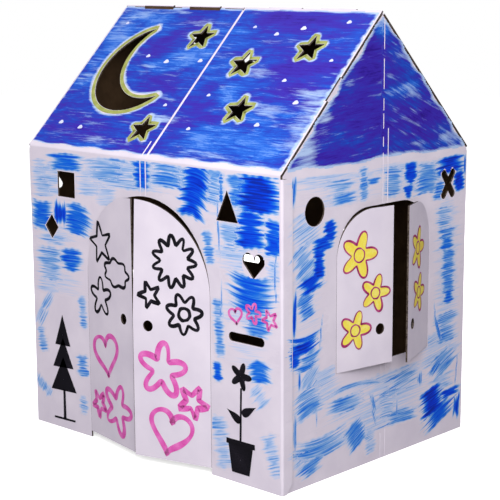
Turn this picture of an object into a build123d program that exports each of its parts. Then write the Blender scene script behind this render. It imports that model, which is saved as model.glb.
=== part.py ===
from build123d import *
import os
from math import atan2, cos, hypot, radians, sin, tan

# A cardboard playhouse folded from two alike die-cut blanks. Millimetres, +Z up: X runs along the
# ridge, the front wall faces -Y, and the origin is on the floor in the middle of the house.
# Each blank is one sheet: a gable, a long wall and a roof panel with folds between them, and a glue
# flap that wraps the wall's far corner onto the other blank's gable. The rear blank is the front one
# turned half round. Door leaves and shutters are cut from the walls and swing on scored creases.

# House, over its outside faces
house_length = 809.0
house_depth = 654.0
eave_height = 682.0
roof_rise = 322.0

# Corrugated sheet, its folds and its pressed score lines
board = 4.0
fold_radius = 5.0
fold_lap = 15.0
score_width = 2.4
score_depth = 0.8
score_spacing = 17.0
wall_score_shift = -5.5

# Glued corners
flap_width = 32.0
flap_taper = 22.0
corner_gap = 1.5

# Rakes: the gable's edge stops short of the roof panel and holds it with one tab
rake_gap = 2.0
rake_tab_width = 64.0
rake_tab_from_eave = 234.0
notch_clearance = 1.0

# Ridge lock: a flange with slots on one half of the ridge, tabs that hook over it on the other
ridge_flange = 48.0
ridge_gap = 0.3
ridge_middle_gap = 1.0
flange_end_gap = 6.0
ridge_tab_width = 100.0
ridge_tab_places = (124.0, 281.0)
ridge_tab_reach = 12.0
ridge_tab_leg = 34.0
slot_end_clearance = 1.5
slot_back_clearance = 0.3
slot_front_clearance = 3.5

# Door: two leaves under a round arch, clear of the floor
door_width = 400.0
door_header = 84.0
door_lift = 15.0
kerf = 0.6
door_finger_height = 318.0
door_finger_inset = 40.0
finger_hole = 25.0
door_ajar_left = 11.6
door_ajar_right = 14.4
door_curl_right = 4.0
door_curl_start = 330.0

# Window: two shutters under a flat head with round corners, its middle a little to the right of the gable's
window_width = 330.0
window_shift = 16.5
window_header = 98.0
window_sill = 230.0
window_corner = 105.0
shutter_finger_height = 311.0
shutter_finger_inset = 38.0
shutter_ajar_left = 9.5
shutter_ajar_right = 21.0

# Peepholes in the front wall, set out from the middle of the wall beside the door and down from the eave
square_size = 60.0
square_shift, square_drop = -33.0, 83.0
diamond_width, diamond_height = 47.0, 58.0
diamond_shift, diamond_drop = 23.0, 188.0
triangle_width, triangle_height = 63.0, 67.0
triangle_shift, triangle_drop = -50.0, 78.5
heart_width, heart_height = 63.0, 55.0
heart_shift, heart_drop = 26.0, 198.0
mail_slot_width, mail_slot_height = 103.0, 20.0
mail_slot_shift, mail_slot_drop = 4.5, 358.0

# Peepholes in the gable, set out the same way from the middle of the wall beside the window
circle_size = 63.0
circle_shift, circle_drop = -17.0, 87.0
cross_length, cross_stroke, cross_lean = 78.0, 19.0, 35.0
cross_shift, cross_drop = -2.25, 80.0

# Night sky cut out of the roof panel: places across the panel and up from the eave
moon_radius, moon_bite_radius = 132.0, 129.0
moon_place = (-199.0, 258.0)
moon_bite_shift = (54.0, 39.0)
star_points, star_radius, star_waist, star_turn = 5, 38.5, 16.0, 5.0
star_places = ((-75.0, 362.0), (109.0, 288.0), (181.0, 158.0), (-66.0, 81.0), (271.0, 342.0))

# Worked out from the sizes above
half_length = house_length / 2
half_depth = house_depth / 2
ridge_height = eave_height + roof_rise
slope = atan2(roof_rise, half_depth)
slope_length = hypot(roof_rise, half_depth)
wall_end = half_length + board
gable_drop = (board + rake_gap) / cos(slope)
gable_eave = eave_height - gable_drop
door_top = eave_height - door_header
window_top = eave_height - window_header
ridge_crease = (board + ridge_gap) / sin(2 * slope)
roof_foot = fold_radius * tan(radians(45) - slope / 2)
roof_fold = slope_length - ridge_crease - fold_radius * tan(slope)
ridge_tab_face = ridge_tab_reach * cos(slope)

# Outer faces of the panels, each with X to the right seen from outside and Y up the panel
wall_face = Plane((0, -half_depth, 0), x_dir=(1, 0, 0), z_dir=(0, -1, 0))
gable_face = Plane((-half_length, 0, 0), x_dir=(0, -1, 0), z_dir=(-1, 0, 0))
window_face = Plane(gable_face.from_local_coords((window_shift, 0, 0)), x_dir=(0, -1, 0), z_dir=(-1, 0, 0))
flap_face = Plane((wall_end, 0, 0), x_dir=(0, 1, 0), z_dir=(1, 0, 0))
roof_face = Plane((0, -half_depth, eave_height), x_dir=(1, 0, 0), z_dir=(0, -sin(slope), cos(slope)))


def panel(face, outline):
    """A flat panel: its outline on the outer face, one board thick inwards."""
    return extrude(face * outline, amount=-board)


def fold(section_plane, points, length):
    """A folded strip: an outer line with a round bend, one board thick on its left, run along the crease."""
    outer = FilletPolyline(*points, radius=fold_radius)
    section = make_face(offset(outer, board, side=Side.LEFT))
    return extrude(section_plane * section, amount=length)


def score(face, across, low, high):
    """A pressed crease: a shallow V groove up the outer face of a panel."""
    start = Plane(face.from_local_coords((across, low, 0)), x_dir=face.x_dir, z_dir=face.y_dir)
    groove = Polyline((-score_width, -score_depth), (score_width, -score_depth), (0, score_depth), close=True)
    return extrude(start * make_face(groove), amount=high - low)


def double_score(face, low, high, middle=0.0):
    """The pair of creases down a panel, near its middle, where the house folds flat."""
    return [score(face, middle + side * score_spacing / 2, low, high) for side in (-1, 1)]


def block(x_range, y_range):
    """A rectangle between two pairs of limits."""
    width, height = x_range[1] - x_range[0], y_range[1] - y_range[0]
    return Pos(x_range[0] + width / 2, y_range[0] + height / 2) * Rectangle(width, height)


def heart():
    """Two round lobes, and two straight sides that leave them smoothly and meet in a point."""
    lobe = heart_width / 4
    shoulder = heart_height / 2 - lobe
    tip = -heart_height / 2
    lean = 2 * atan2(lobe, shoulder - tip)
    touch = ((shoulder - tip) * sin(lean), tip + (shoulder - tip) * cos(lean))
    crown = ThreePointArc((0, shoulder), (lobe, heart_height / 2), (2 * lobe, shoulder))
    flank = TangentArc((2 * lobe, shoulder), touch, tangent=(0, -1))
    half = make_face([crown, flank, Line(touch, (0, tip)), Line((0, tip), (0, shoulder))])
    return half + mirror(half, Plane.YZ)


def star():
    """A star with its points on one circle and its waists on another."""
    radii = (star_radius, star_waist) * star_points
    steps = [radians(90 + star_turn + 180 * i / star_points) for i in range(2 * star_points)]
    return make_face(Polyline(*[(r * cos(a), r * sin(a)) for r, a in zip(radii, steps)], close=True))


def cross():
    """Two strokes with round ends, leaning away from the upright to either side."""
    stroke = SlotOverall(cross_length, cross_stroke)
    return Rot(0, 0, 90 - cross_lean) * stroke + Rot(0, 0, 90 + cross_lean) * stroke


def door_opening(gap=0.0):
    """The arched doorway, open at the floor, or the same shape a gap smaller all round."""
    radius = door_width / 2 - gap
    spring = door_top - door_width / 2
    return Pos(0, spring) * Circle(radius) + block((-radius, radius), (0, spring))


def window_opening(gap=0.0):
    """The window with its two upper corners rounded, or the same shape a gap smaller all round."""
    side = window_width / 2 - gap
    outline = block((-side, side), (window_sill + gap, window_top - gap))
    return fillet(outline.vertices().group_by(Axis.Y)[-1], window_corner - gap)


def wall_outline():
    """The long wall between its two corner folds and the eave fold, with the doorway and peepholes."""
    beside_door = (half_length + door_width / 2) / 2
    square = Rectangle(square_size, square_size)
    diamond = make_face(Polyline((0, diamond_height / 2), (-diamond_width / 2, 0), (0, -diamond_height / 2),
                                 (diamond_width / 2, 0), close=True))
    triangle = make_face(Polyline((0, triangle_height / 2), (-triangle_width / 2, -triangle_height / 2),
                                  (triangle_width / 2, -triangle_height / 2), close=True))
    outline = block((fold_radius - half_length, wall_end - fold_radius), (0, eave_height - roof_foot))
    outline -= door_opening()
    outline -= Pos(-beside_door - square_shift, eave_height - square_drop) * square
    outline -= Pos(-beside_door - diamond_shift, eave_height - diamond_drop) * diamond
    outline -= Pos(beside_door + triangle_shift, eave_height - triangle_drop) * triangle
    outline -= Pos(beside_door + heart_shift, eave_height - heart_drop) * heart()
    mail_slot = SlotOverall(mail_slot_width, mail_slot_height)
    outline -= Pos(beside_door + mail_slot_shift, eave_height - mail_slot_drop) * mail_slot
    return outline


def rake_point(along, depth):
    """A point of the gable's face: a distance up the front rake, and a depth under the roof's outer face."""
    y = along * cos(slope) + depth * sin(slope) - half_depth
    return (-y, eave_height + along * sin(slope) - depth * cos(slope))


def gable_outline():
    """The gable up to the roof's underside, with a tab on each rake, the window and the peepholes."""
    beside_window = (half_depth + window_width / 2) / 2
    left, right = board + corner_gap - half_depth, half_depth - fold_radius
    rise = tan(slope)
    outline = make_face(Polyline(
        (left, 0), (right, 0), (right, gable_eave + (half_depth - right) * rise), (0, ridge_height - gable_drop),
        (left, gable_eave + (half_depth + left) * rise), close=True))
    low = rake_tab_from_eave - rake_tab_width / 2
    high = rake_tab_from_eave + rake_tab_width / 2
    root = 2 * board + rake_gap
    tab = make_face(Polyline(rake_point(low, root), rake_point(low, 0), rake_point(high, 0),
                             rake_point(high, root), close=True))
    outline += tab + mirror(tab, Plane.YZ)
    outline -= Pos(window_shift, 0) * window_opening()
    circle_place = window_shift / 2 - beside_window - circle_shift
    outline -= Pos(circle_place, eave_height - circle_drop) * Circle(circle_size / 2)
    outline -= Pos(window_shift / 2 + beside_window + cross_shift, eave_height - cross_drop) * cross()
    return outline


def roof_outline():
    """The roof panel, notched at its rakes for the gables' tabs, with the moon and stars cut out."""
    outline = block((-half_length, half_length), (roof_foot, roof_fold))
    outline += block((ridge_middle_gap, half_length), (roof_foot, slope_length))
    notch_reach = rake_tab_width / 2 + notch_clearance
    notch = (rake_tab_from_eave - notch_reach, rake_tab_from_eave + notch_reach)
    notch_floor = half_length - board - notch_clearance
    outline -= block((-half_length, -notch_floor), notch) + block((notch_floor, half_length), notch)
    outline -= Pos(*moon_place) * (Circle(moon_radius) - Pos(*moon_bite_shift) * Circle(moon_bite_radius))
    for place in star_places:
        outline -= Pos(*place) * star()
    return outline


def glue_flap():
    """The flap that goes round the wall's far corner, with slanted ends, flat on the other gable."""
    corner = fold(Plane.XY, [(wall_end - fold_lap, -half_depth), (wall_end, -half_depth),
                             (wall_end, fold_lap - half_depth)], gable_eave)
    root, edge = fold_lap - half_depth, flap_width - half_depth
    outline = make_face(Polyline((root, 0), (edge, flap_taper), (edge, gable_eave - flap_taper),
                                 (root, gable_eave), close=True))
    return corner + panel(flap_face, outline)


def ridge_lock():
    """The ridge fold with its flange on the left half of the roof, and the hooked tabs on the right half."""
    up, out = sin(slope), cos(slope)
    crease = (-ridge_crease * out, ridge_height - ridge_crease * up)
    flange_start = flange_end_gap + board - half_length
    flange = fold(Plane.YZ.offset(flange_start),
                  [(crease[0] + ridge_flange * out, crease[1] - ridge_flange * up), crease,
                   (crease[0] - fold_lap * out, crease[1] - fold_lap * up)],
                  -ridge_middle_gap - flange_start)
    knee = (ridge_tab_face, ridge_height + ridge_tab_reach * up)
    tab_points = [(knee[0], knee[1] - ridge_tab_leg), knee, (-fold_lap * out, ridge_height - fold_lap * up)]
    tabs = [fold(Plane.YZ.offset(place - ridge_tab_width / 2), tab_points, ridge_tab_width)
            for place in ridge_tab_places]
    return [flange] + tabs


def ridge_slots():
    """Slots on the left half of the ridge crease, wide enough for the other blank's tabs to drop through."""
    back = board - ridge_tab_face + slot_back_clearance
    front = -ridge_tab_face - slot_front_clearance
    slots = []
    for place in ridge_tab_places:
        reach = ridge_tab_width / 2 + slot_end_clearance
        slots.append(extrude(Plane.XY.offset(ridge_height - ridge_tab_leg) *
                             block((-place - reach, -place + reach), (front, back)),
                             amount=2 * ridge_tab_leg))
    return slots


def blank():
    """One half of the house: gable, corner fold, long wall, eave fold, roof panel, ridge lock and glue flap."""
    out, up = cos(slope), sin(slope)
    corner = fold(Plane.XY, [(-half_length, fold_lap - half_depth), (-half_length, -half_depth),
                             (fold_lap - half_length, -half_depth)], gable_eave)
    eave = fold(Plane.YZ.offset(fold_radius - half_length),
                [(fold_lap * out - half_depth, eave_height + fold_lap * up), (-half_depth, eave_height),
                 (-half_depth, eave_height - fold_lap)], wall_end + half_length - 2 * fold_radius)
    sheet = panel(wall_face, wall_outline()) + panel(gable_face, gable_outline())
    sheet += [panel(roof_face, roof_outline()), corner, eave, glue_flap()] + ridge_lock()
    creases = double_score(wall_face, door_top - board, eave_height - fold_radius, wall_score_shift)
    creases += double_score(window_face, 0, window_sill) + double_score(window_face, window_top, ridge_height)
    creases += double_score(roof_face, fold_radius, roof_fold - fold_radius, wall_score_shift)
    return sheet - creases - ridge_slots()


def leaf(face, opening, half_width, bottom, top, side, finger, ajar, curl=0.0, curl_start=0.0):
    """One leaf of a pair (side -1 is the left one from outside), turned outwards about its hinge crease.

    A curled leaf is twisted above the height where its curl starts, and its top is turned that much less.
    """
    edges = sorted((side * half_width, side * kerf))
    outline = opening(kerf) & block(edges, (bottom, top))
    outline -= Pos(side * finger[0], finger[1]) * Circle(finger_hole / 2)
    hinge = Axis(face.from_local_coords((side * half_width, 0, 0)), (0, 0, 1))
    if not curl:
        return panel(face, outline).rotate(hinge, side * ajar)
    foot = panel(face, block(edges, (bottom, top))).faces().sort_by(Axis.Z)[0]
    sections = [foot.moved(Pos(0, 0, height - bottom)).rotate(hinge, side * angle)
                for height, angle in ((bottom, ajar), (curl_start, ajar), (top, ajar - curl))]
    cutter = extrude(face * outline, amount=half_width / 3, both=True)
    return loft(sections, ruled=True) & cutter.rotate(hinge, side * (ajar - curl / 2))


def door_leaf(side, ajar, curl=0.0):
    """A door leaf of the long wall."""
    return leaf(wall_face, door_opening, door_width / 2, door_lift, door_top, side,
                (door_finger_inset, door_finger_height), ajar, curl, door_curl_start)


def shutter_leaf(side, ajar):
    """A shutter leaf of the gable window."""
    return leaf(window_face, window_opening, window_width / 2, window_sill, window_top, side,
                (shutter_finger_inset, shutter_finger_height), ajar)


# The front half of the house, and the names of the same pieces turned half round to the rear
pieces = (
    ("front_half", "rear_half", blank()),
    ("front_door_left", "rear_door_left", door_leaf(-1, door_ajar_left)),
    ("front_door_right", "rear_door_right", door_leaf(1, door_ajar_right, door_curl_right)),
    ("left_shutter_rear", "right_shutter_front", shutter_leaf(-1, shutter_ajar_left)),
    ("left_shutter_front", "right_shutter_rear", shutter_leaf(1, shutter_ajar_right)),
)

os.makedirs("parts", exist_ok=True)
for front_name, rear_name, piece in pieces:
    export_step(piece, f"parts/{front_name}.step")
    export_step(piece.rotate(Axis.Z, 180), f"parts/{rear_name}.step")
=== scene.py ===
import bpy
import numpy as np
from mathutils import Matrix


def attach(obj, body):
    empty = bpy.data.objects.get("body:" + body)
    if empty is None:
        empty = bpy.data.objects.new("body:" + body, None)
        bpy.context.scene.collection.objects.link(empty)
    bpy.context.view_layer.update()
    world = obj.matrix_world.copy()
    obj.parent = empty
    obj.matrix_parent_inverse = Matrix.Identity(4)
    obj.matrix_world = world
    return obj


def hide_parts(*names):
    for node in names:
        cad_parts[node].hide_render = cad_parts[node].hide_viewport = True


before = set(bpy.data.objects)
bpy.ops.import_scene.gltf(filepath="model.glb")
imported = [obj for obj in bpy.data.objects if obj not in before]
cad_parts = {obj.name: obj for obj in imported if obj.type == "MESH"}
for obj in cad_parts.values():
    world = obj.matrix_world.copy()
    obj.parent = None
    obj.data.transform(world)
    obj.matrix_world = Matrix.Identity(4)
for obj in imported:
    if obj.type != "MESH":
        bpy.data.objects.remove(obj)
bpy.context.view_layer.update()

# The sheet: white-faced corrugated board, bleached paper outside and brown kraft inside with the
# fluting showing on every cut edge. The two folded blanks and all eight leaves are cut from it.


def linear(hex_colour):
    """An sRGB hex colour as linear light with full alpha."""
    srgb = np.array([int(hex_colour[i:i + 2], 16) for i in (1, 3, 5)]) / 255
    return (*np.where(srgb <= 0.04045, srgb / 12.92, ((srgb + 0.055) / 1.055) ** 2.4), 1.0)


def add(tree, kind, sockets=None, stops=None, **settings):
    """Adds one node with its settings, its colour stops, and a value or a link for each named socket."""
    made = tree.nodes.new(kind)
    for name, value in settings.items():
        setattr(made, name, value)
    for i, (place, colour) in enumerate(stops or ()):
        stop = made.color_ramp.elements[i] if i < 2 else made.color_ramp.elements.new(place)
        stop.position, stop.color = place, linear(colour)
    for name, value in (sockets or {}).items():
        if isinstance(value, bpy.types.NodeSocket):
            tree.links.new(value, made.inputs[name])
        else:
            made.inputs[name].default_value = value
    return made


def matt(name, colour_of, roughness):
    """A dull material with a very faint gloss, as paper and poster paint have. colour_of adds the nodes for its
    colour and gives back (colour, height, depth), and the height is shown as a relief at half strength."""
    made = bpy.data.materials.new(name)
    made.use_nodes = True
    tree = made.node_tree
    shader = tree.nodes["Principled BSDF"]
    colour, height, depth = colour_of(tree)
    bump = add(tree, "ShaderNodeBump", {"Height": height, "Strength": 0.5, "Distance": depth})
    tree.links.new(colour, shader.inputs["Base Color"])
    tree.links.new(bump.outputs[0], shader.inputs["Normal"])
    shader.inputs["Roughness"].default_value = roughness
    shader.inputs["Specular IOR Level"].default_value = 0.1
    return made


def liner_colour(tree):
    """Cool white with slow mottling 83 mm wide, 12 to the metre, and paper fibre 2 mm long in the relief."""
    at = add(tree, "ShaderNodeTexCoord").outputs["Object"]
    slow = add(tree, "ShaderNodeTexNoise", {"Vector": at, "Scale": 12.0, "Detail": 3.0})
    fibre = add(tree, "ShaderNodeTexNoise", {"Vector": at, "Scale": 500.0, "Detail": 2.0})
    white = add(tree, "ShaderNodeValToRGB", {"Fac": slow.outputs[0]},
                [(0.3, "#d7cedb"), (0.7, "#e2d9e4")])
    return white.outputs[0], fibre.outputs[0], 0.0002


def cut_edge_shade_colour(tree):
    """Kraft darkened to a deep brown as painted shade in the narrow cut edges, with the flutes as light and dark
    flecks 4 mm wide, 240 to the metre.
    """
    at = add(tree, "ShaderNodeTexCoord").outputs["Object"]
    flute = add(tree, "ShaderNodeTexNoise", {"Vector": at, "Scale": 240.0, "Detail": 1.0})
    tone = add(tree, "ShaderNodeValToRGB", {"Fac": flute.outputs[0]},
               [(0.35, "#2e2722"), (0.6, "#5c5149")])
    return tone.outputs[0], flute.outputs[0], 0.001


def inside_shade_kraft_colour(tree):
    """Mid brown, darker than kraft as painted shade for the dim inside, with faint blotches 40 mm wide, 25 to the
    metre; behind the small holes it reads almost black.
    """
    at = add(tree, "ShaderNodeTexCoord").outputs["Object"]
    blotch = add(tree, "ShaderNodeTexNoise", {"Vector": at, "Scale": 25.0, "Detail": 4.0})
    tone = add(tree, "ShaderNodeValToRGB", {"Fac": blotch.outputs[0]},
               [(0.3, "#4a3828"), (0.7, "#5b4632")])
    return tone.outputs[0], blotch.outputs[0], 0.0004


# To the eye the outside is a dull cool white, the cuts are dark flecked lines, and the inside is plain brown; the
# cuts and the inside are darker than kraft, as painted shade.
board_skins = [matt("bleached paper liner", liner_colour, 0.75),
               matt("cut corrugated edge in painted shade", cut_edge_shade_colour, 0.9),
               matt("kraft liner darkened as painted shade", inside_shade_kraft_colour, 0.85)]
rise, run = 0.322, 0.327
slope = np.arctan2(rise, run)
board_reach, eave_top, ridge_top = 0.0043, 0.686, 0.985


def dress(node, points, normals, body):
    """A copy of a CAD node's mesh, its faces sorted by how they turn to the nearest outer plane: with it they
    are liner, against it kraft, and across it cut edge. The last plane is the roof's, and every face above the
    eave within a board of it belongs to it. On the ridge, faces that look up are liner."""
    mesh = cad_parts[node].data.copy()
    piece = bpy.data.objects.new("board_" + node, mesh)
    bpy.context.collection.objects.link(piece)
    mesh.materials.clear()
    for skin in board_skins:
        mesh.materials.append(skin)
    middle = np.empty(3 * len(mesh.polygons))
    facing = np.empty(3 * len(mesh.polygons))
    mesh.polygons.foreach_get("center", middle)
    mesh.polygons.foreach_get("normal", facing)
    middle, facing = middle.reshape(-1, 3), facing.reshape(-1, 3)
    out = np.einsum("fpk,pk->fp", middle[:, None] - points, normals)
    in_roof = (out[:, -1] > -board_reach) & (middle[:, 2] > eave_top)
    nearest = np.where(in_roof, len(points) - 1, out.argmax(axis=1))
    along = (facing * normals[nearest]).sum(axis=1)
    skins = np.select([along > 0.5, along < -0.5], [0, 2], 1)
    skins[(middle[:, 2] > ridge_top) & (facing[:, 2] > 0.6)] = 0
    mesh.polygons.foreach_set("material_index", skins.astype(np.int32))
    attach(piece, body)
    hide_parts(node)


# The two blanks: gable, long wall and roof panel folded from one sheet, with a glue flap round the far
# corner. The rear one is the front one turned half round. A face here is a point of an outer plane, its
# directions to the right and up as seen from outside, and its outward normal.
half_turn = np.array([-1.0, -1.0, 1.0])
wall_face = np.array([(0, -0.327, 0), (1, 0, 0), (0, 0, 1), (0, -1, 0)])
gable_face = np.array([(0.4045, 0, 0), (0, 1, 0), (0, 0, 1), (1, 0, 0)])
flap_face = np.array([(0.4085, 0, 0), (0, 1, 0), (0, 0, 1), (1, 0, 0)])
roof_face = np.array([(0, -0.327, 0.682), (1, 0, 0), (0, np.cos(slope), np.sin(slope)),
                      (0, -np.sin(slope), np.cos(slope))])
outside = np.stack([wall_face, gable_face * half_turn, flap_face, roof_face])
dress("front_half", outside[:, 0], outside[:, 3], "house")
dress("rear_half", outside[:, 0] * half_turn, outside[:, 3] * half_turn, "house")

# The eight leaves: door leaves and shutters cut from the walls, each hanging on the scored crease at its
# outer edge and standing a little open. Left ones turn clockwise from above, right ones the other way. The
# right door leaf is curled: above the curl's start its turn falls by 4 degrees to the top of the arch.
curl_start, curl_height = 0.33, 0.268
leaf_faces = {}
for leaf, twin, face, hinge, angle, top_angle in (
        ("front_door_left", "rear_door_left", wall_face, -0.2, -11.6, -11.6),
        ("front_door_right", "rear_door_right", wall_face, 0.2, 14.4, 10.4),
        ("right_shutter_front", "left_shutter_rear", gable_face, -0.1485, -9.5, -9.5),
        ("right_shutter_rear", "left_shutter_front", gable_face, 0.1815, 21.0, 21.0)):
    c, s = np.cos(np.radians([angle, top_angle])), np.sin(np.radians([angle, top_angle]))
    none, one = np.zeros(2), np.ones(2)
    turns = np.moveaxis(np.array([(c, s, none), (-s, c, none), (none, none, one)]), 2, 0)
    turned = face @ turns
    turned[:, 0] = face[0] + hinge * face[1]
    leaf_faces[leaf], leaf_faces[twin] = turned, turned * half_turn
    for name in (leaf, twin):
        dress(name, leaf_faces[name][0, :1], leaf_faces[name][0, 3:], name)


# Blue paint on the long walls: poster paint dragged on with a half-dry brush in short patches, mostly
# level, running out to bare board at the ends of the strokes.
paint_lift = 0.0002


def film(name, flat, lift, quads, load, stroke, material, face, body="house"):
    """A thin piece laid on a face: flat points to the right and up it, lifted off it, with the paint load and
    the brush's own coordinates, along, across and hue, kept at each point. On a curled leaf the face turns from
    its first place to its last over the height of the curl. Points that no quad uses are left out."""
    used, quads = np.unique(quads, return_inverse=True)
    flat, load, stroke = flat[used], load[used], stroke[used]
    curl = np.clip((flat[:, 1] - curl_start) / curl_height, 0, 1)[:, None, None]
    origin, level, upward, outward = np.moveaxis(face[0] + (face[-1] - face[0]) * curl, 1, 0)
    places = origin + flat[:, :1] * level + flat[:, 1:] * upward + lift * outward
    mesh = bpy.data.meshes.new(name)
    mesh.from_pydata(places.tolist(), [], quads.reshape(-1, 4).tolist())
    kept_load = mesh.attributes.new("load", "FLOAT", "POINT")
    kept_load.data.foreach_set("value", np.clip(load, 0, 1).astype(np.float32))
    kept_stroke = mesh.attributes.new("stroke", "FLOAT_VECTOR", "POINT")
    kept_stroke.data.foreach_set("vector", stroke.astype(np.float32).ravel())
    mesh.materials.append(material)
    piece = bpy.data.objects.new(name, mesh)
    bpy.context.collection.objects.link(piece)
    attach(piece, body)


def grid(box, pitch, cuts):
    """A flat grid over a box (left, right, bottom, top), with extra upright lines at the cuts, as points and
    quads."""
    u = np.sort(np.concatenate([np.arange(box[0], box[1], pitch[0]), cuts]))
    v = np.arange(box[2], box[3], pitch[1])
    flat = np.stack(np.meshgrid(u, v), axis=-1).reshape(-1, 2)
    index = np.arange(len(flat)).reshape(len(v), len(u))
    quads = np.stack([index[:-1, :-1], index[:-1, 1:], index[1:, 1:], index[1:, :-1]], axis=-1)
    return flat, quads.reshape(-1, 4)


def brushed(flat, patches, seed):
    """Paint load at flat points, the strongest of all the patches there. A patch is a bundle of bristle lanes,
    bowed by its bow at the middle and then turned: full near the middle and running out from there to its ends,
    where every 3 mm lane stops at a random place, and so does every clump of 10 mm. The sides fade over about
    8 mm, and the paint thins along the stroke. Patches are rows of (across, up, length, width, turn, bow, load),
    in millimetres and degrees. Gives the load and the place along and across the strongest patch's own lanes,
    which lie apart from those of other patches so that no two share their streaks."""
    lanes, patch_step = 256, 0.37
    across, up, length, width, turn, bow, load = np.array(patches, float).T[:, :, None]
    rng = np.random.default_rng(seed)
    du, dv = flat[:, 0] - across / 1e3, flat[:, 1] - up / 1e3
    c, s = np.cos(np.radians(turn)), np.sin(np.radians(turn))
    along = du * c + dv * s
    off = dv * c - du * s - bow / 1e3 * (1 - np.minimum(1, 2e3 * np.abs(along) / length) ** 2)
    scatter = 0
    for lane_width, reach in ((0.003, 0.34), (0.01, 0.06)):
        ends_at = rng.uniform(-reach, reach, (len(patches), lanes))
        lane, between = np.divmod(off / lane_width, 1)
        lane = lane.astype(int) % (lanes - 1)
        scatter = scatter + (1 - between) * np.take_along_axis(ends_at, lane, axis=1)
        scatter = scatter + between * np.take_along_axis(ends_at, lane + 1, axis=1)
    ripple = sum(np.sin(along * k + rng.uniform(0, 6.28, c.shape)) for k in (130, 290))
    ends = np.clip((1.12 + scatter - 2e3 * np.abs(along) / length) / 0.7, 0, 1)
    sides = np.clip((1.1 + 0.03 * ripple - 2e3 * np.abs(off) / width) / np.clip(16 / width, 0.25, 0.6), 0, 1)
    value = load * ends * sides * (1 - 0.2 * along * 1e3 / length)
    best = value.argmax(axis=0)
    at = np.arange(len(flat))
    strongest = value[best, at]
    return strongest, np.stack([along[best, at], off[best, at] + patch_step * best, 0 * strongest], axis=1)


def paint_of(stops, stretch, drag, blotch=0.0):
    """Colour by paint load, pushed up and down by bristle streaks, noise stretched along the stroke with its
    waves per metre along and across given by stretch, and by slower blotches. Where there is hardly any paint
    both fade out."""
    def colour_of(tree):
        brush = add(tree, "ShaderNodeAttribute", attribute_name="stroke").outputs["Vector"]
        drawn = add(tree, "ShaderNodeVectorMath", {0: brush, 1: (*stretch, 0.0)}, operation="MULTIPLY")
        slower = add(tree, "ShaderNodeVectorMath", {0: brush, 1: (0.6 * stretch[0], 0.12 * stretch[1], 0.0)},
                     operation="MULTIPLY")
        streak = add(tree, "ShaderNodeTexNoise", {
            "Vector": drawn.outputs[0], "Scale": 1.0, "Detail": 5.0, "Roughness": 0.6}).outputs[0]
        slow = add(tree, "ShaderNodeTexNoise", {
            "Vector": slower.outputs[0], "Scale": 1.0, "Detail": 4.0, "Distortion": 0.6}).outputs[0]
        load = add(tree, "ShaderNodeAttribute", attribute_name="load").outputs["Fac"]
        reach = add(tree, "ShaderNodeMath", {0: load, 1: 4.0}, operation="MULTIPLY", use_clamp=True).outputs[0]
        push = add(tree, "ShaderNodeMath", {0: streak, 1: drag, 2: -0.5 * (drag + blotch)},
                   operation="MULTIPLY_ADD").outputs[0]
        push = add(tree, "ShaderNodeMath", {0: slow, 1: blotch, 2: push}, operation="MULTIPLY_ADD").outputs[0]
        mixed = add(tree, "ShaderNodeMath", {0: push, 1: reach, 2: load}, operation="MULTIPLY_ADD").outputs[0]
        return add(tree, "ShaderNodeValToRGB", {"Fac": mixed}, stops).outputs[0], streak, 0.0003
    return colour_of


# Poster paint dried matt: deep blue where the brush was full, and streaks 125 mm long and 4 mm wide that let
# the board through, paler and paler, where it ran dry.
wall_blue = matt("blue poster paint", paint_of([
    (0.07, "#dcd3df"), (0.21, "#b7c8e8"), (0.37, "#6a9fdc"), (0.53, "#1a72da"), (0.7, "#0650dc"),
    (0.86, "#0236d2"), (1.0, "#0c2a9c")], (8.0, 260.0), 1.3, 0.5), 0.55)


def wall_holes(u, v):
    """True where the long wall has its doorway, a peephole or a crease, each taken 1 to 3 mm past its cut, so
    that the paint stops short of it."""
    door = ((np.abs(u) < 0.203) & (v < 0.398)) | (np.hypot(u, v - 0.398) < 0.203)
    square = (np.abs(u + 0.26925) < 0.032) & (np.abs(v - 0.599) < 0.032)
    diamond = np.abs(u + 0.32525) / 0.0265 + np.abs(v - 0.494) / 0.032 < 1
    triangle = (np.abs(u - 0.25225) < 0.033 * (0.639 - v) / 0.069) & (v > 0.569)
    heart = np.hypot((u - 0.32825) / 0.034, (v - 0.488) / 0.030) < 1
    slot = (np.abs(u - 0.30675) < 0.053) & (np.abs(v - 0.324) < 0.0115)
    crease = np.abs(np.abs(u + 0.0055) - 0.0085) < 0.0018
    return door | square | diamond | triangle | heart | slot | crease


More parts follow.
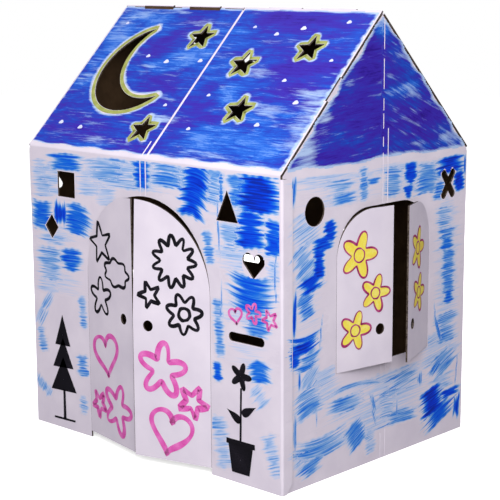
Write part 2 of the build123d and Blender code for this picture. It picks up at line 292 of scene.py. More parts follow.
wall_patches = [
    (-365, 633, 60, 44, 4, 0, 0.22), (-269, 652, 116, 42, 2, 0, 0.6), (-127, 644, 172, 54, 2, 4, 0.32),
    (-9, 646, 62, 62, 0, 0, 0.66), (-354, 585, 84, 50, 3, 0, 0.24), (-130, 586, 78, 48, 6, 0, 0.2),
    (-360, 520, 84, 70, 0, -4, 0.58), (-294, 529, 62, 44, 88, 0, 0.85), (-232, 515, 96, 76, -6, 6, 0.58),
    (-320, 462, 110, 30, 2, 0, 0.3), (-337, 402, 96, 84, 2, 0, 0.3), (-258, 421, 76, 56, 2, 0, 0.58),
    (-345, 345, 84, 36, 2, 0, 0.2), (-350, 308, 74, 30, 50, 0, 0.3), (-374, 270, 62, 36, 55, 0, 0.26),
    (-374, 211, 36, 62, 12, 0, 0.3), (-378, 95, 34, 80, 60, 0, 0.3), (-221, 300, 32, 80, 4, 0, 0.3),
    (-226, 168, 42, 56, 6, 0, 0.4), (-226, 72, 34, 50, 0, 0, 0.22), (-300, 580, 190, 24, 2, 0, 0.18),
    (-300, 480, 190, 40, 2, 0, 0.16), (-300, 360, 180, 60, 2, 0, 0.12), (-310, 620, 170, 50, 2, 0, 0.22),
    (-60, 640, 280, 66, 1, 0, 0.24), (130, 650, 220, 50, -2, 0, 0.26), (-180, 610, 120, 60, 4, 0, 0.18),
    (72, 646, 116, 56, -2, 6, 0.42), (155, 618, 84, 116, -12, 10, 0.78), (214, 640, 60, 76, -6, 0, 0.34),
    (236, 640, 14, 60, 0, 0, 0.5), (342, 636, 126, 78, 0, 0, 0.95), (281, 638, 60, 66, 0, 0, 0.5),
    (319, 560, 80, 78, 2, 0, 0.78), (262, 538, 64, 64, 0, 0, 0.28), (387, 550, 52, 74, -4, 0, 0.66),
    (386, 480, 46, 50, 0, 0, 0.22), (324, 430, 140, 84, -2, -10, 0.62), (197, 508, 34, 72, 8, 0, 0.4),
    (229, 560, 150, 5, 92, 3, 0.5), (392, 470, 120, 4, 90, 3, 0.5), (231, 400, 110, 4, 88, -3, 0.46),
    (226, 336, 34, 124, 4, 0, 0.36), (221, 238, 28, 46, 4, 0, 0.66),
    (339, 356, 78, 46, 0, 0, 0.5), (344, 254, 66, 50, 4, 6, 0.58), (344, 206, 54, 50, 40, 0, 0.24),
    (232, 82, 60, 120, 14, 0, 0.24), (382, 82, 48, 96, 20, 0, 0.26), (300, 590, 200, 60, 0, 0, 0.2),
    (300, 500, 200, 60, 2, 0, 0.18), (290, 380, 180, 50, 2, 0, 0.16), (320, 290, 150, 50, 3, 0, 0.1),
]
wall_cuts = np.array([-0.0158, -0.0122, 0.0012, 0.0048])
flat, quads = grid((-0.399, 0.403, 0.008, 0.677), (0.0032, 0.0019), wall_cuts)
load, stroke = brushed(flat, wall_patches, 11)
quads = quads[(load[quads].max(axis=1) > 0.03) & ~wall_holes(*flat[quads].mean(axis=1).T)]
film("wall_paint_front", flat, paint_lift, quads, load, stroke, wall_blue, wall_face[None])
film("wall_paint_rear", flat, paint_lift, quads, load, stroke, wall_blue, wall_face[None] * half_turn)


# Blue paint on the gable walls: the same brush and paint, in brick-like patches round the window, laid
# over the glue flap at the near corner as well, which stands one board off the gable.
flap_edge = -0.295


def gable_holes(u, v):
    """True where the gable has its window, a peephole, a crease or the edge of the glue flap, each taken 1 to
    3 mm past its cut. The cross is two bars, each 35 degrees off upright."""
    du, dv = np.abs(u - 0.0165) - 0.06, v - 0.479
    round_off = (du > 0) & (dv > 0) & (np.hypot(du, dv) > 0.108)
    window = (du < 0.108) & (v > 0.227) & (v < 0.587) & ~round_off
    circle = np.hypot(u + 0.22075, v - 0.595) < 0.0325
    side = np.array([-1, 1])[:, None] * np.sin(np.radians(35))
    far = (u - 0.252) * side + (v - 0.602) * np.cos(np.radians(35))
    near = (u - 0.252) * np.cos(np.radians(35)) - (v - 0.602) * side
    cross = ((np.abs(far) < 0.0395) & (np.abs(near) < 0.0102)).any(axis=0)
    crease = (np.abs(np.abs(u - 0.0165) - 0.0085) < 0.0018) & (v > 0.58)
    return window | circle | cross | crease | (np.abs(u - flap_edge) < 0.002)


gable_patches = [
    (-288, 644, 62, 20, 84, 0, 0.5), (-139, 638, 112, 38, 0, 0, 0.32), (-128, 612, 102, 28, 2, 0, 0.44),
    (-58, 636, 34, 74, 4, 0, 0.4), (-26, 638, 52, 16, 0, 0, 0.5), (44, 630, 70, 70, -3, 0, 0.36),
    (109, 641, 44, 52, 0, 0, 0.78), (101, 600, 34, 32, 0, 0, 0.76), (174, 620, 100, 72, -2, 5, 0.42),
    (258, 646, 124, 42, 4, 0, 0.9), (295, 604, 42, 48, 10, 0, 0.84), (219, 590, 54, 44, 0, 0, 0.44),
    (317, 640, 60, 9, 90, 0, 0.7),
    (-170, 548, 42, 46, 6, 0, 0.8), (-194, 523, 68, 34, 4, 0, 0.78), (-206, 481, 38, 64, 0, 0, 0.8),
    (-253, 488, 74, 82, 30, 0, 0.34), (-232, 442, 88, 38, 14, 0, 0.82), (-248, 395, 54, 58, 16, 0, 0.46),
    (-285, 385, 90, 14, 88, 0, 0.7), (-250, 560, 110, 80, 20, 0, 0.22),
    (242, 524, 74, 54, 0, 0, 0.3), (252, 486, 66, 32, 0, 0, 0.38), (252, 463, 62, 34, 0, 0, 0.56),
    (259, 396, 60, 108, 0, 0, 0.44), (262, 333, 50, 36, 0, 0, 0.58), (257, 261, 92, 76, 4, 0, 0.34),
    (222, 262, 70, 12, 112, 0, 0.54),
    (-251, 336, 112, 14, 2, -10, 0.6), (-257, 316, 100, 30, 6, -8, 0.9), (-284, 290, 38, 42, 4, 0, 0.76),
    (-235, 291, 74, 40, 10, -6, 0.42), (-247, 268, 78, 18, 6, -3, 0.56), (-268, 240, 52, 8, 90, 0, 0.6),
    (-232, 236, 74, 52, 40, 0, 0.24), (-236, 184, 94, 66, 12, 4, 0.34), (-111, 154, 128, 42, 2, 0, 0.36),
    (-80, 180, 188, 13, -2, 12, 0.4), (-18, 134, 58, 14, 108, 0, 0.44), (34, 118, 74, 70, -4, 5, 0.26),
    (86, 84, 116, 38, -2, 0, 0.34), (90, 166, 156, 50, 10, 0, 0.3), (154, 156, 44, 22, 90, 0, 0.36),
    (244, 178, 110, 56, 24, 0, 0.38), (218, 172, 56, 26, 40, 0, 0.48), (242, 130, 106, 40, 6, 0, 0.28),
    (205, 92, 86, 66, 14, 0, 0.92), (275, 98, 82, 24, 4, 0, 0.8), (303, 58, 58, 26, 84, 0, 0.8),
    (236, 56, 130, 44, 22, 0, 0.66),
    (-193, 88, 190, 52, 3, -12, 0.34), (-80, 76, 70, 62, 30, 0, 0.46), (-28, 52, 42, 64, 6, 0, 0.22),
    (-230, 40, 86, 36, 14, 0, 0.46), (-283, 130, 74, 10, 90, 0, 0.5), (-262, 62, 58, 54, 20, 0, 0.24),
    (-120, 630, 300, 70, 0, 0, 0.13), (150, 630, 320, 70, 0, 0, 0.16), (-200, 656, 220, 30, 0, 0, 0.2),
    (60, 660, 260, 26, 0, 0, 0.2), (255, 430, 110, 300, 2, 0, 0.14),
    (-245, 420, 110, 260, 8, 0, 0.1), (20, 130, 420, 130, 3, 6, 0.18), (-200, 210, 180, 80, 8, 0, 0.2),
    (230, 220, 160, 80, 8, 0, 0.2), (-196, 330, 120, 4, 84, 4, 0.5), (-290, 190, 150, 4, 90, 3, 0.55),
    (-214, 150, 70, 4, 92, 0, 0.5), (34, 142, 96, 4, 8, 6, 0.46), (70, 108, 60, 4, 88, 0, 0.5),
    (20, 78, 110, 4, 4, -6, 0.42), (-16, 104, 60, 4, 112, 0, 0.5), (214, 300, 90, 4, 100, 4, 0.5),
    (300, 150, 70, 4, 84, 0, 0.5),
]
gable_cuts = np.array([0.0062, 0.0098, 0.0232, 0.0268, -0.297, -0.293])
flat, quads = grid((-0.3215, 0.3225, 0.012, 0.677), (0.0032, 0.0019), gable_cuts)
load, stroke = brushed(flat, gable_patches, 12)
quads = quads[(load[quads].max(axis=1) > 0.03) & ~gable_holes(*flat[quads].mean(axis=1).T)]
at = flat[quads].mean(axis=1)
flap, quads = quads[at[:, 0] < flap_edge], quads[at[:, 0] > flap_edge]
for name, turn in (("right", np.ones(3)), ("left", half_turn)):
    film("gable_paint_" + name, flat, paint_lift, quads, load, stroke, wall_blue, gable_face[None] * turn)
    film("flap_paint_" + name, flat, paint_lift, flap, load, stroke, wall_blue, flap_face[None] * turn)


# Night sky: blue and violet poster paint brushed level over the roof panels and the gable peaks, short of
# the edges, with the moon and stars left in a bare halo.


def sky_colour(tree):
    """Azure to violet by the hue kept at each point, pushed by blotches 110 mm long and 40 mm high and by
    streaks 70 mm long and 5 mm high. The paint covers where its load is high, and the streaks, in drifts 170 mm
    long and 20 mm high, thin it to a pale wash elsewhere."""
    brush = add(tree, "ShaderNodeAttribute", attribute_name="stroke").outputs["Vector"]
    load = add(tree, "ShaderNodeAttribute", attribute_name="load").outputs["Fac"]
    hue = add(tree, "ShaderNodeSeparateXYZ", {0: brush}).outputs["Z"]
    streak, blotch, drift = [add(tree, "ShaderNodeTexNoise", {
        "Vector": add(tree, "ShaderNodeVectorMath", {0: brush, 1: per_metre}, operation="MULTIPLY").outputs[0],
        "Scale": 1.0, "Detail": 7.0, "Roughness": 0.74, "Distortion": bend}).outputs[0]
        for per_metre, bend in (((14.0, 210.0, 0.0), 0.0), ((9.0, 26.0, 0.0), 0.8), ((6.0, 48.0, 0.0), 0.5))]
    shade = add(tree, "ShaderNodeMath", {0: blotch, 1: 1.2, 2: hue}, operation="MULTIPLY_ADD").outputs[0]
    shade = add(tree, "ShaderNodeMath", {0: streak, 1: 1.3, 2: shade}, operation="MULTIPLY_ADD").outputs[0]
    shade = add(tree, "ShaderNodeMath", {0: shade, 1: 1.25}, operation="SUBTRACT").outputs[0]
    tone = add(tree, "ShaderNodeValToRGB", {"Fac": shade}, [
        (0.02, "#5a88dc"), (0.16, "#2466d0"), (0.33, "#1c4cbe"), (0.5, "#2638b0"), (0.66, "#382aaa"),
        (0.84, "#3821a2"), (1.0, "#2a1388")])
    cover = add(tree, "ShaderNodeMath", {0: drift, 1: 1.5, 2: load}, operation="MULTIPLY_ADD").outputs[0]
    cover = add(tree, "ShaderNodeMath", {0: streak, 1: 0.9, 2: cover}, operation="MULTIPLY_ADD").outputs[0]
    cover = add(tree, "ShaderNodeMapRange", {0: cover, 1: 1.25, 2: 1.66}).outputs[0]
    mixed = add(tree, "ShaderNodeMix", {0: cover, 6: linear("#adc4e8"), 7: tone.outputs[0]},
                data_type="RGBA")
    return mixed.outputs[2], streak, 0.0006


# Thicker than on the walls and a little shinier: deep blue and violet, with pale drags where it is thin.
sky_paint = matt("night sky poster paint", sky_colour, 0.5)


def sky_tone(u, v, ground, fields, seed):
    """The ground tone, plus soft round fields, each its amount at its middle and fading with distance, plus
    brushed blotches: thirty sine waves, 0.1 m long or more across and 20 to 200 mm high, all bent alike. Fields
    are rows of (across, up, width, height, amount), in millimetres but for the amount."""
    at_u, at_v, wide, high, amount = np.array(fields, float).T[:, :, None]
    fade = np.exp(-((u * 1e3 - at_u) / (0.6 * wide)) ** 2 - ((v * 1e3 - at_v) / (0.6 * high)) ** 2)
    rng = np.random.default_rng(seed)
    waves = (30, 1)
    ku, kv, phase = rng.uniform(-60, 60, waves), rng.uniform(30, 300, waves), rng.uniform(0, 6.28, waves)
    bend = 0.8 * np.sin(23 * u + 41 * v) + 0.5 * np.sin(71 * u - 29 * v + 2)
    brushed_blotches = np.sin(ku * u + kv * v + phase + bend).sum(axis=0)
    return ground + 1.25 * (amount * fade).sum(axis=0) + 0.012 * brushed_blotches


star_radius, star_waist = 0.0385, 0.016


def star_reach(angle):
    """Distance from a star's middle to its outline: straight from each point to each waist, a tenth of a turn
    on. One point stands 5 degrees off upright."""
    tenth = np.radians(36)
    bend = tenth * (1 - np.abs((angle - np.radians(95)) / tenth % 2 - 1))
    across, down = star_radius - star_waist * np.cos(tenth), star_waist * np.sin(tenth)
    return star_radius * down / (across * np.sin(bend) + down * np.cos(bend))


star_places = np.array([(-75, 362), (109, 288), (181, 158), (-66, 81), (271, 342)]) / 1e3
t = np.linspace(0, 2 * np.pi, 120, endpoint=False)  # once round a closed shape
circle = np.stack([np.cos(t), np.sin(t)], axis=1)
star = star_reach(t)[:, None] * circle
moon_middle, moon_radius = np.array([-0.199, 0.258]), 0.132
bite_middle, bite_radius = np.array([-0.145, 0.297]), 0.129
apart = np.hypot(*(bite_middle - moon_middle))
moon_lean = np.arctan2(*(bite_middle - moon_middle)[::-1])
horn = np.arccos((apart ** 2 + moon_radius ** 2 - bite_radius ** 2) / (2 * apart * moon_radius))
tip = np.pi - np.arccos((apart ** 2 + bite_radius ** 2 - moon_radius ** 2) / (2 * apart * bite_radius))
outer, inner = moon_lean + horn + (np.pi - horn) * t / np.pi, moon_lean - tip - (np.pi - tip) * t / np.pi
moon = np.concatenate([moon_middle + moon_radius * np.stack([np.cos(outer), np.sin(outer)], axis=1),
                       bite_middle + bite_radius * np.stack([np.cos(inner), np.sin(inner)], axis=1)])


def bare_gap(u, v):
    """Distance out from the nearest star's edge, zero inside it, or from the moon's edge less 6 mm all over,
    whichever is less."""
    inside = np.hypot(u - moon_middle[0], v - moon_middle[1]) < moon_radius
    inside &= np.hypot(u - bite_middle[0], v - bite_middle[1]) > bite_radius
    away = np.hypot(u[:, None] - moon[:, 0], v[:, None] - moon[:, 1]).min(axis=1)
    gaps = [np.where(inside, 0, away) - 0.006]
    for du, dv in np.stack([u, v]) - star_places[:, :, None]:
        away = np.hypot(du[:, None] - star[:, 0], dv[:, None] - star[:, 1]).min(axis=1)
        gaps.append(np.where(np.hypot(du, dv) < star_reach(np.arctan2(dv, du)), 0, away))
    return np.min(gaps, axis=0)


roof_hues = [
    (-259, 52, 166, 83, 0.14), (-343, 134, 104, 84, 0.1), (-178, 330, 93, 62, 0.2), (-350, 340, 110, 120, -0.3),
    (-177, 258, 72, 39, -0.2), (-99, 214, 143, 47, 0.14), (73, 132, 103, 88, 0.2), (135, 75, 114, 67, -0.3),
    (-62, 24, 117, 35, 0.22), (-300, 430, 158, 40, -0.3), (-170, 409, 190, 45, 0.14), (192, 422, 261, 54, 0.3),
    (7, 388, 109, 123, -0.2), (42, 266, 136, 87, -0.16), (255, 286, 209, 42, 0.25), (292, 216, 109, 68, 0.22),
    (125, 197, 61, 56, -0.3), (273, 170, 136, 54, -0.16), (243, 93, 192, 79, -0.1), (309, 58, 159, 76, -0.2),
    (-90, 296, 110, 60, -0.3), (-230, 398, 130, 50, -0.24), (-340, 210, 80, 80, -0.24),
    (-200, 20, 160, 36, -0.24),
]
roof_bare = [
    (-300, 444, 158, 18, -0.3), (-373, 390, 60, 60, -0.24), (-177, 262, 60, 30, -0.2),
    (60, 316, 120, 18, -0.16), (250, 176, 130, 26, -0.2), (373, 205, 70, 70, -0.22),
    (381, 120, 60, 90, -0.24), (330, 150, 120, 60, -0.06), (-20, 110, 90, 30, -0.16),
    (-180, 40, 120, 20, -0.16), (120, 26, 200, 24, -0.14), (310, 26, 120, 30, -0.14),
    (160, 270, 90, 26, -0.16), (-372, 230, 50, 60, -0.2), (-90, 300, 60, 30, -0.12),
    (-178, 340, 90, 60, 0.16), (200, 425, 200, 50, 0.16), (280, 290, 150, 50, 0.12),
    (-300, 60, 160, 40, -0.1), (-130, 380, 120, 40, -0.1),
]
roof_cuts = np.array([-0.0014, 0.0052, -0.016, -0.012])
flat, quads = grid((-0.4, 0.402, 0.008, 0.455), (0.004, 0.0022), roof_cuts)
u, v = flat.T
ragged = 0.004 * np.sin(v * 211 + 1) * np.sin(v * 67) + 0.004 * np.sin(u * 60) + 0.003 * np.sin(v * 143)
room = np.min([0.7 * (0.402 + ragged - np.abs(u)), v - 0.012 - ragged, 0.452 + 0.3 * ragged - v,
               bare_gap(u, v) - 0.008 + 0.2 * ragged], axis=0)
load = sky_tone(u, v, 0.6, roof_bare, 9) * np.clip(room / 0.006, 0, 1)
hue = sky_tone(u, v, 0.47, roof_hues, 7)
at = flat[quads].mean(axis=1)
bare = (np.abs(at[:, 0] - 0.0019) < 0.0033) | ((np.abs(at[:, 0] + 0.014) < 0.002) & (at[:, 1] < 0.05))
quads = quads[(load[quads].max(axis=1) > 0.02) & ~bare]
stroke = np.column_stack([flat, hue])
film("sky_paint_front", flat, paint_lift, quads, load, stroke, sky_paint, roof_face[None])
film("sky_paint_rear", flat, paint_lift, quads, load, stroke, sky_paint, roof_face[None] * half_turn)

# On the gable peaks the strokes lean two ways, nearly level left of the middle and steeper right of it, and
# the creases show through as dashed bare lines.
peak_hues = [
    (60, 830, 110, 26, -0.3), (110, 850, 60, 60, -0.2), (60, 930, 80, 40, -0.2), (-50, 880, 110, 120, 0.2),
    (-110, 886, 40, 60, -0.3), (0, 968, 60, 36, -0.4), (-20, 770, 160, 60, 0.12), (150, 760, 120, 60, 0.12),
    (200, 702, 160, 24, -0.2), (-180, 700, 120, 24, 0.1),
]
peak_bare = [
    (80, 830, 110, 26, -0.24), (60, 900, 90, 40, -0.14), (-250, 724, 60, 60, -0.44), (-190, 790, 50, 60, -0.3),
    (-110, 886, 40, 60, -0.3), (260, 706, 80, 40, -0.34), (0, 975, 50, 30, -0.3), (150, 706, 120, 16, -0.2),
    (120, 780, 80, 40, -0.16),
]
peak_cuts = np.array([0.0066, 0.0094, 0.0236, 0.0264])
flat, quads = grid((-0.33, 0.33, 0.675, 0.995), (0.004, 0.0022), peak_cuts)
u, v = flat.T
ragged = 0.003 * np.sin(v * 75 + np.sign(u)) + 0.002 * np.sin(v * 163)
foot = 0.686 + 0.003 * np.sin(u * 19 + 0.6) + 0.002 * np.sin(u * 53 + 2)
rake = ((0.9956 - v) * run / rise - np.abs(u)) * np.sin(slope) - np.where(u < 0, 0.004, 0.001)
room = np.minimum(v - foot, rake + ragged)
load = sky_tone(u, v, 0.63, peak_bare, 10) * np.clip(room / 0.008, 0, 1)
hue = sky_tone(u, v, 0.58, peak_hues, 8)
at = flat[quads].mean(axis=1)
dashed = np.sin(at[:, 1] * 150) + 0.6 * np.sin(at[:, 1] * 67) > -0.5
bare = (np.abs(at[:, 0] - 0.008) < 0.0016) & dashed
bare |= (np.abs(at[:, 0] - 0.025) < 0.0016) & (at[:, 1] < 0.75)
quads = quads[(load[quads].max(axis=1) > 0.02) & ~bare]
c, s = np.cos(np.radians(np.where(u < 0, 4, -24))), np.sin(np.radians(np.where(u < 0, 4, -24)))
stroke = np.column_stack([u * c + v * s, v * c - u * s, hue])
film("peak_paint_right", flat, paint_lift, quads, load, stroke, sky_paint, gable_face[None])
film("peak_paint_left", flat, paint_lift, quads, load, stroke, sky_paint, gable_face[None] * half_turn)

# Moon and star outlines: yellow-green paint drawn round the cut edges by hand, on the bare halo, and white
# flecks dabbed on the sky between them.
rim_lift, fleck_lift = 0.0005, 0.0006


def band(path, inner, outer, wobble, seed=1):
    """A closed band along a path of points: every point goes out along the path's normal by the inner and by
    the outer distance, and the outer one swells and shrinks along the way. Gives (flat points, quads)."""
    step = np.roll(path, -1, axis=0) - np.roll(path, 1, axis=0)
    normal = np.stack([step[:, 1], -step[:, 0]], axis=1) / np.hypot(*step.T)[:, None]
    turn = np.linspace(0, 2 * np.pi, len(path), endpoint=False)[:, None]
    waves = np.arange(2, 9)
    phase = np.random.default_rng(seed).uniform(0, 6.28, 7)
    swell = wobble * (np.sin(turn * waves + phase) / waves).sum(axis=1, keepdims=True)
    flat = np.stack([path + normal * inner, path + normal * (outer + swell)], axis=1)
    index = np.arange(2 * len(path)).reshape(-1, 2)
    ahead = np.roll(index, -1, axis=0)
    return flat.reshape(-1, 2), np.stack([index[:, 0], index[:, 1], ahead[:, 1], ahead[:, 0]], axis=1)


def filled(path):
    """A path filled in, from its points to points close round its middle. Gives (flat points, quads)."""
    path = np.array(path, float) / 1e3
    middle = path.mean(axis=0)
    flat = np.stack([path, middle + 0.01 * (path - middle)], axis=1).reshape(-1, 2)
    index = np.arange(2 * len(path)).reshape(-1, 2)
    ahead = np.roll(index, -1, axis=0)
    return flat, np.stack([index[:, 0], ahead[:, 0], ahead[:, 1], index[:, 1]], axis=1)


def draw(name, shapes, lift, material, face, body="house"):
    """Several drawn shapes joined into one film, its paint load in soft blotches about 40 mm wide."""
    starts = np.cumsum([0] + [len(flat) for flat, _ in shapes[:-1]])
    flat = np.concatenate([flat for flat, _ in shapes])
    quads = np.concatenate([quads + start for (_, quads), start in zip(shapes, starts)])
    load = 0.5 + 0.2 * np.sin(flat[:, 0] * 150) * np.sin(flat[:, 1] * 130)
    film(name, flat, lift, quads, load, np.column_stack([flat, 0 * load]), material, face, body)


# Dull olive to straw yellow, and white with some of the blue in it, both uneven in dabs 4 mm wide.
glow = matt("yellow green poster paint", paint_of([
    (0.0, "#80853f"), (0.5, "#a0a55c"), (1.0, "#c6cb86")], (250.0, 250.0), 0.6), 0.55)
dab = matt("white poster paint", paint_of([
    (0.0, "#b8c0ee"), (0.5, "#d3d6f4"), (1.0, "#efeffa")], (250.0, 250.0), 0.4), 0.5)
rims = [band(moon, 0.0008, 0.0105, 0.0016)]
rims += [band(place + star, 0.0006, 0.0085, 0.0018, i) for i, place in enumerate(star_places)]
dab_edge = (1 + 0.14 * np.cos(3 * t + 1))[:, None] * circle * np.array([6.4, 4.8])
flecks = [filled(np.array(place) + dab_edge[::5] * (0.8 + 0.4 * np.sin(7 * i) ** 2)) for i, place in enumerate((
    (-356, 398), (-206, 296), (-134, 282), (-28, 290), (67, 192), (-45, 154), (-346, 77), (-270, 68), (72, 94),
    (72, 399), (150, 380), (218, 400), (335, 422), (351, 311), (257, 248), (326, 190), (259, 122)))]
for name, face in (("front", roof_face[None]), ("rear", roof_face[None] * half_turn)):
    draw("moon_and_stars_" + name, rims, rim_lift, glow, face)
    draw("sky_flecks_" + name, flecks, fleck_lift, dab, face)

# Marker doodles on the doors: black motifs above and pink ones below, drawn freehand in felt marker, one line
# thick, straight on the bare board. They ride on the leaves and follow the curl of the right one.
marker_lift = 0.0004
flower = (0.72 + 0.28 * np.cos(5 * t))[:, None] * circle
sun = (0.82 + 0.18 * np.cos(11 * t))[:, None] * circle
heart_height = 13 * np.cos(t) - 5 * np.cos(2 * t) - 2 * np.cos(3 * t) - np.cos(4 * t)
heart = np.stack([16 * np.sin(t) ** 3, heart_height], axis=1)[::-1] / 17
cloud = (1 + 0.11 * np.cos(7 * t))[:, None] * circle * np.array([1.0, 0.6])
spark = star / star_radius
blossom = (0.8 + 0.2 * np.cos(7 * t))[:, None] * circle
drop = np.stack([0.62 * np.sin(t) * np.sin(t / 2) ** 2, np.cos(t)], axis=1)[::-1]
# Ink soaked into the paper: flat and dull, a little lighter and darker in spots 3 mm wide.
black = matt("black felt marker", paint_of([
    (0.2, "#2b2731"), (0.5, "#15131a"), (0.8, "#0b0a0e")], (300.0, 300.0), 0.6), 0.8)
pink = matt("pink felt marker", paint_of([
    (0.2, "#e98cca"), (0.5, "#dd62b4"), (0.8, "#cc4499")], (300.0, 300.0), 0.6), 0.6)


def doodles(rows, inner, outer, wobble):
    """Bands along closed motifs, each set by (path, across, up, size in millimetres, turn in degrees)."""
    shapes = []
    for i, (path, across, up, size, turn) in enumerate(rows):
        c, s = np.cos(np.radians(turn)), np.sin(np.radians(turn))
        spun = (path @ np.array([(c, s), (-s, c)]) * size + np.array([across, up])) / 1e3
        shapes.append(band(spun, inner, outer, wobble, i))
    return shapes


for leaf, twin, dark, bright in (
        ("front_door_left", "rear_door_left",
         doodles([(spark, 64, 478, 52, 8), (cloud, 132, 418, 50, 0), (flower, 60, 352, 46, 20)],
                 -0.0035, 0.0035, 0.0015),
         doodles([(heart, 78, 222, 56, 10), (flower, 126, 98, 60, 0), (spark, 42, 92, 34, 30)],
                 -0.006, 0.006, 0.003)),
        ("front_door_right", "rear_door_right",
         doodles([(sun, -92, 468, 58, 0), (spark, -156, 388, 32, 16), (blossom, -66, 354, 46, 10),
                  (circle, -66, 354, 14, 0)], -0.004, 0.004, 0.0015),
         doodles([(flower, -124, 222, 62, 12), (spark, -46, 158, 40, 40), (heart, -104, 86, 58, -12)],
                 -0.0065, 0.0065, 0.003))):
    for name in (leaf, twin):
        draw(name + "_black_doodles", dark, marker_lift, black, leaf_faces[name], name)
        draw(name + "_pink_doodles", bright, marker_lift, pink, leaf_faces[name], name)

# Marker doodles on the shutters: flowers filled in with a broad yellow felt marker and edged with a thin maroon
# one, on the bare board of each leaf. The maroon lies over the yellow.
over_lift = 0.0006
# Yellow ink is thin and warms where it overlaps, in spots 5 mm wide. The maroon reads dark pink where thin.
yellow = matt("yellow felt marker", paint_of([
    (0.2, "#f2e68a"), (0.5, "#ecdd52"), (0.8, "#efc55a")], (200.0, 200.0), 0.6), 0.6)
maroon = matt("maroon felt marker", paint_of([
    (0.2, "#c0588f"), (0.5, "#a02f68"), (0.8, "#7d1c48")], (300.0, 300.0), 0.6), 0.6)
for leaf, twin, rows in (
        ("right_shutter_front", "left_shutter_rear",
         [(flower, 64, 484, 52), (flower, 112, 394, 42), (flower, 54, 318, 44)]),
        ("right_shutter_rear", "left_shutter_front", [(flower, -94, 478, 48), (flower, -82, 374, 44)])):
    broad = [filled(np.array([across, up]) + size * path) for path, across, up, size in rows]
    edges = doodles([(*row, 0) for row in rows], -0.0008, 0.0032, 0.002)
    edges += doodles([(circle, across, up, 0.26 * size, 0) for _, across, up, size in rows], 0.0, 0.0035, 0.001)
    for name in (leaf, twin):
        draw(name + "_yellow_doodles", broad, marker_lift, yellow, leaf_faces[name], name)
        draw(name + "_maroon_lines", edges, over_lift, maroon, leaf_faces[name], name)

# Marker drawings on the long walls: a fir tree and a potted flower filled in with black marker, and small pink
# motifs over the mail slot. They lie over the blue paint.
fir = [filled([(-345, 92), (-252, 96), (-298, 178)]), filled([(-336, 150), (-261, 154), (-297, 226)]),
       filled([(-326, 206), (-270, 208), (-297, 282)]),
       filled([(-302, 24), (-292, 24), (-293, 96), (-301, 96)]),
       filled([(-336, 20), (-260, 22), (-258, 27), (-336, 25)])]
pot = [filled([(262, 22), (314, 22), (324, 84), (252, 84)]),
       filled([(246, 84), (330, 84), (330, 96), (246, 96)]),
       filled([(285, 96), (291, 96), (293, 214), (288, 214)]), filled(np.array([290, 240]) + 32 * flower),
       filled(np.array([268, 150]) + 24 * (drop @ np.array([(0.5, 0.87), (-0.87, 0.5)]))),
       filled(np.array([314, 168]) + 24 * (drop @ np.array([(0.5, -0.87), (0.87, 0.5)])))]
slot_motifs = doodles([(heart, 276, 372, 20, 10), (flower, 326, 384, 22, 0), (spark, 374, 376, 24, 20)],
                      -0.003, 0.003, 0.001)
for name, face in (("front", wall_face[None]), ("rear", wall_face[None] * half_turn)):
    draw("wall_drawings_" + name, fir + pot, over_lift, black, face)
    draw("slot_doodles_" + name, slot_motifs, over_lift, pink, face)

# The studio: a plain pale floor just under the house and a white surround, both white to the camera, and two
# large round softboxes, one off the near corner and one off the far corner, for plain soft light.
floor_reach, floor_level = 8.0, -0.0005
floor_mesh = bpy.data.meshes.new("floor")
corners = floor_reach * np.array([(-1, -1), (1, -1), (1, 1), (-1, 1)])
floor_mesh.from_pydata([(x, y, floor_level) for x, y in corners.tolist()], [], [(0, 1, 2, 3)])
floor = bpy.data.objects.new("floor", floor_mesh)
bpy.context.collection.objects.link(floor)


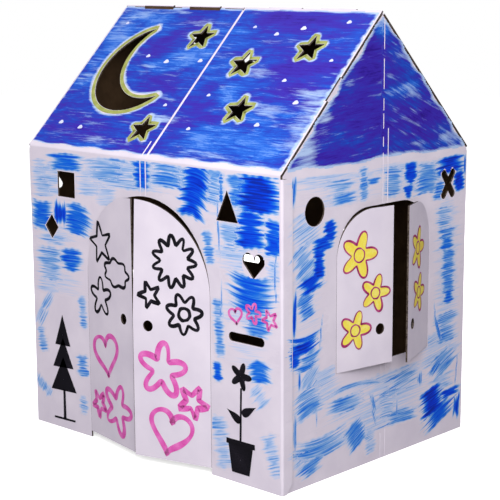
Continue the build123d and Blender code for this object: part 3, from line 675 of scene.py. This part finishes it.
def floor_colour(tree):
    """Almost white to the camera, with very faint slow mottling, and greyer where it throws light back up."""
    at = add(tree, "ShaderNodeTexCoord").outputs["Object"]
    slow = add(tree, "ShaderNodeTexNoise", {"Vector": at, "Scale": 1.5})
    white = add(tree, "ShaderNodeValToRGB", {"Fac": slow.outputs[0]},
                [(0.3, "#fdfdfa"), (0.7, "#fffffc")])
    seen = add(tree, "ShaderNodeLightPath").outputs["Is Camera Ray"]
    both = add(tree, "ShaderNodeMix", {0: seen, 6: linear("#716f73"), 7: white.outputs[0]},
               data_type="RGBA")
    lift = add(tree, "ShaderNodeMath", {0: seen, 1: 0.6}, operation="MULTIPLY")
    tree.links.new(lift.outputs[0], tree.nodes["Principled BSDF"].inputs["Emission Strength"])
    return both.outputs[2], slow.outputs[0], 0.0


floor_mesh.materials.append(matt("pale studio floor", floor_colour, 0.9))

world = bpy.data.worlds.new("studio")
bpy.context.scene.world = world
world.use_nodes = True
tree = world.node_tree
seen = add(tree, "ShaderNodeLightPath")
soft = add(tree, "ShaderNodeBackground", {"Color": linear("#f8f6fc"), "Strength": 0.48})
white = add(tree, "ShaderNodeBackground", {"Color": (1, 1, 1, 1), "Strength": 1.0})
pick = add(tree, "ShaderNodeMixShader", {
    0: seen.outputs["Is Camera Ray"], 1: soft.outputs[0], 2: white.outputs[0]})
tree.links.new(pick.outputs[0], tree.nodes["World Output"].inputs["Surface"])
for side in (40, 220):
    lamp_name = "softbox_%d" % side
    softbox = bpy.data.objects.new(lamp_name, bpy.data.lights.new(lamp_name, "AREA"))
    softbox.data.energy, softbox.data.shape, softbox.data.size = 112.0, "DISK", 3.0
    softbox.matrix_world = (Matrix.Rotation(np.radians(side), 4, "Z") @ Matrix.Translation((0, -2.7, 2.05))
                            @ Matrix.Rotation(np.radians(61), 4, "X"))
    bpy.context.collection.objects.link(softbox)

# The camera: a long lens off the near corner, a little above the ridge and looking down, with a slight roll.
# Its place and its lens are fitted to the corners of the house.
camera_place = np.array([2.404, -2.5538, 1.1024])
azimuth, elevation, roll = np.radians([43.126, 10.844, -0.294])
back = np.array([np.sin(azimuth) * np.cos(elevation), -np.cos(azimuth) * np.cos(elevation), np.sin(elevation)])
level = np.array([np.cos(azimuth), np.sin(azimuth), 0.0])
upright = np.cross(back, level)
rows = np.eye(4)
rows[:3] = np.stack([np.cos(roll) * level + np.sin(roll) * upright,
                     np.cos(roll) * upright - np.sin(roll) * level, back, camera_place], axis=1)
camera = bpy.data.objects.new("camera", bpy.data.cameras.new("camera"))
camera.data.lens, camera.data.sensor_width = 107.4, 36.0
camera.matrix_world = Matrix(rows)
bpy.context.collection.objects.link(camera)
bpy.context.scene.camera = camera
bpy.context.scene.view_settings.view_transform = "Standard"
